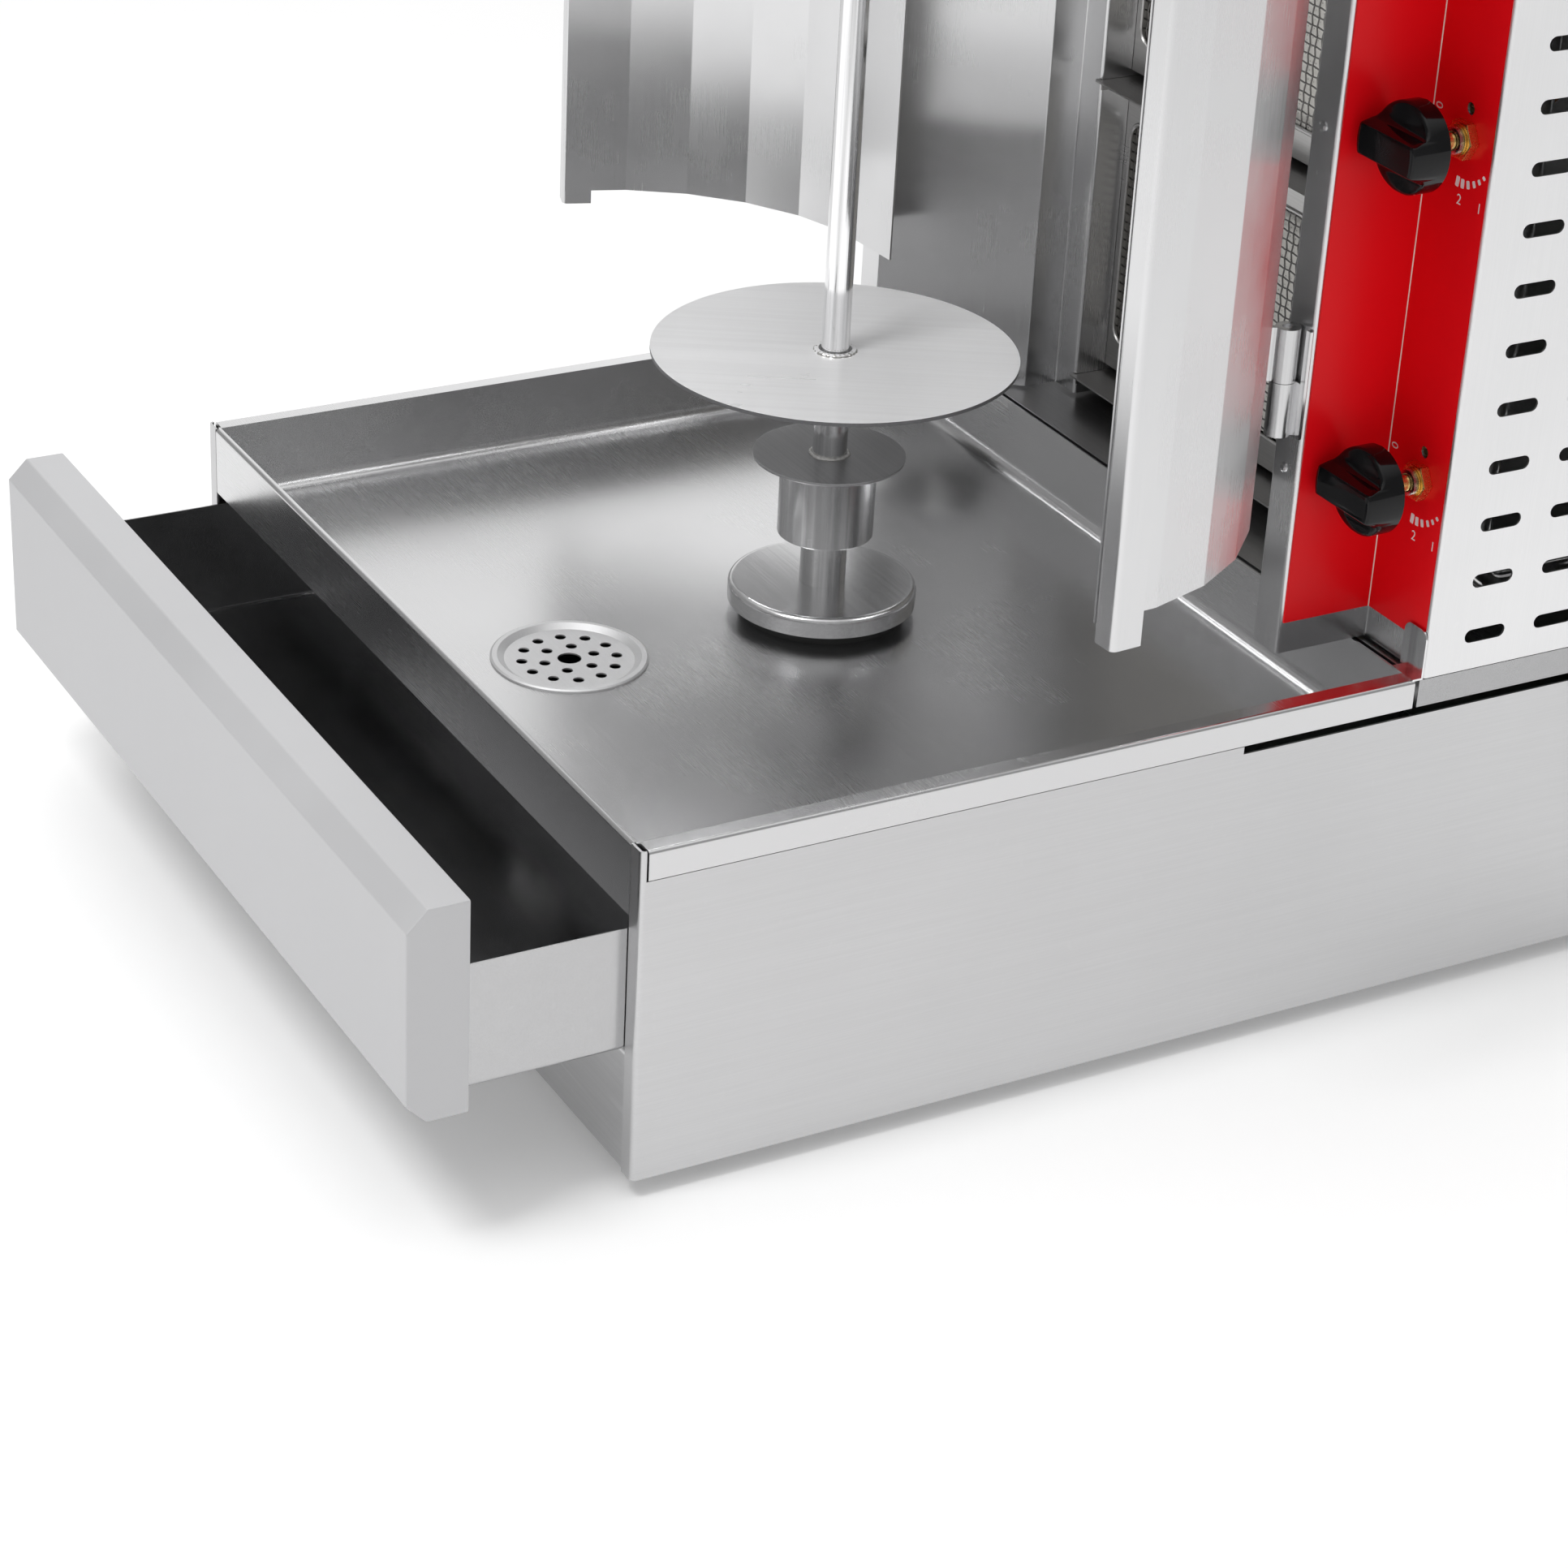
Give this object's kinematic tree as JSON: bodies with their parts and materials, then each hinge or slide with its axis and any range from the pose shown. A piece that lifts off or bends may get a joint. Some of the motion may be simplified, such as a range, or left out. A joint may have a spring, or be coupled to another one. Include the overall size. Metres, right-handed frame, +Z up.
{
  "type": "gas doner kebab grill",
  "caption": "Upright gas kebab grill: base box with drip tray and grease drawer, motor-turned spit, column of gas burners, and hinged heat shields.",
  "frame": {"origin": "on the table surface, under the centre of the base box", "axes": "+Z up, +Y from the operator towards the rear, +X to the operator's right, where the gas taps are"},
  "size_m": [0.6155, 0.742, 0.9345],
  "materials": {
    "steel": "brushed stainless sheet",
    "ceramic_tile": "porous burner tile",
    "sheet_dark": "heat-toned stainless",
    "wire_dark": "heat-darkened wire",
    "black_plastic": "glossy phenolic",
    "silver_paint": "silver powder coat",
    "polished": "bright drawn stainless",
    "copper_pipe": "bare pipe",
    "brass": "machined",
    "cast_grey": "cast and painted grey",
    "red_paint": "satin red enamel",
    "rubber": "matt"
  },
  "bodies": {
    "frame": {"base_floor": "steel", "base_front_panel": "steel", "base_shell": "steel", "burner_ceramics": "ceramic_tile", "burner_housings": "sheet_dark", "burner_meshes": "wire_dark", "burner_shelves": "sheet_dark", "cable_gland": "black_plastic", "drain_sieve": "steel", "drawer_runners": "steel", "drip_tray": "steel", "flame_sensors": "copper_pipe", "gas_injectors": "brass", "gas_inlet": "brass", "gas_manifold": "polished", "gas_pipes": "copper_pipe", "gas_valves": "brass", "gear_motor": "cast_grey", "hinge_fixed_halves": "steel", "left_post": "steel", "motor_bracket": "steel", "panel_nuts": "brass", "plinth_plate": "steel", "post_rivets": "steel", "rear_cover": "steel", "recess_clip": "steel", "red_panel": "red_paint", "right_post": "steel", "rubber_feet": "rubber", "shaft_bearing": "cast_grey", "shaft_collar": "rubber", "switch_body": "black_plastic", "top_bracket": "steel", "top_bush": "brass", "top_cap": "steel", "venturi_tubes": "sheet_dark"},
    "drawer": {"drawer_front": "silver_paint", "drawer_box": "steel"},
    "drive": {"drive_shaft": "polished", "foot_cap": "polished"},
    "spit": {"spit_cup": "polished", "drip_disc": "steel", "spit_tube": "polished", "spit_plate": "steel", "spit_rod": "polished"},
    "left_shield": {"left_shield": "steel", "left_shield_edge": "steel", "left_shield_knuckles": "steel"},
    "right_shield": {"right_shield": "steel", "right_shield_edge": "steel", "right_shield_knuckles": "steel"},
    "rocker": {"switch_rocker": "black_plastic"},
    "tap_1": {"tap_stem_1": "brass"},
    "knob_1": {"knob_1": "black_plastic"},
    "tap_2": {"tap_stem_2": "brass"},
    "knob_2": {"knob_2": "black_plastic"},
    "tap_3": {"tap_stem_3": "brass"},
    "knob_3": {"knob_3": "black_plastic"},
    "tap_4": {"tap_stem_4": "brass"},
    "knob_4": {"knob_4": "black_plastic"}
  },
  "joints": [
    {"name": "drawer_slide", "type": "slide", "parent": "frame", "child": "drawer", "axis": [0, -1, 0], "range_m": [-0.0805, 0.05]},
    {"name": "spit_spin", "type": "hinge", "parent": "frame", "child": "drive", "pos_m": [0, -0.067, 0.181], "axis": [0, 0, 1], "continuous": true},
    {"name": "spit_lift", "type": "slide", "parent": "drive", "child": "spit", "axis": [0, 0, 1], "range_m": [0, 0.032]},
    {"name": "left_shield_swing", "type": "hinge", "parent": "frame", "child": "left_shield", "pos_m": [-0.195, 0.0615, 0.45], "axis": [0, 0, 1], "range_deg": [-31, 44]},
    {"name": "right_shield_swing", "type": "hinge", "parent": "frame", "child": "right_shield", "pos_m": [0.195, 0.0615, 0.45], "axis": [0, 0, 1], "range_deg": [-30, 45]},
    {"name": "switch_rock", "type": "hinge", "parent": "frame", "child": "rocker", "pos_m": [-0.135, 0.2975, 0.06], "axis": [1, 0, 0], "range_deg": [0, 14]},
    {"name": "tap_1_push", "type": "slide", "parent": "frame", "child": "tap_1", "axis": [0, 1, 0], "range_m": [0, 0.004], "stiffness_N_per_m": 400},
    {"name": "knob_1_turn", "type": "hinge", "parent": "tap_1", "child": "knob_1", "pos_m": [0.233, 0.09, 0.2766], "axis": [0, -1, 0], "range_deg": [0, 210]},
    {"name": "tap_2_push", "type": "slide", "parent": "frame", "child": "tap_2", "axis": [0, 1, 0], "range_m": [0, 0.004], "stiffness_N_per_m": 400},
    {"name": "knob_2_turn", "type": "hinge", "parent": "tap_2", "child": "knob_2", "pos_m": [0.233, 0.09, 0.4451], "axis": [0, -1, 0], "range_deg": [0, 210]},
    {"name": "tap_3_push", "type": "slide", "parent": "frame", "child": "tap_3", "axis": [0, 1, 0], "range_m": [0, 0.004], "stiffness_N_per_m": 400},
    {"name": "knob_3_turn", "type": "hinge", "parent": "tap_3", "child": "knob_3", "pos_m": [0.233, 0.09, 0.6136], "axis": [0, -1, 0], "range_deg": [0, 210]},
    {"name": "tap_4_push", "type": "slide", "parent": "frame", "child": "tap_4", "axis": [0, 1, 0], "range_m": [0, 0.004], "stiffness_N_per_m": 400},
    {"name": "knob_4_turn", "type": "hinge", "parent": "tap_4", "child": "knob_4", "pos_m": [0.233, 0.09, 0.7821], "axis": [0, -1, 0], "range_deg": [0, 210]}
  ]
}
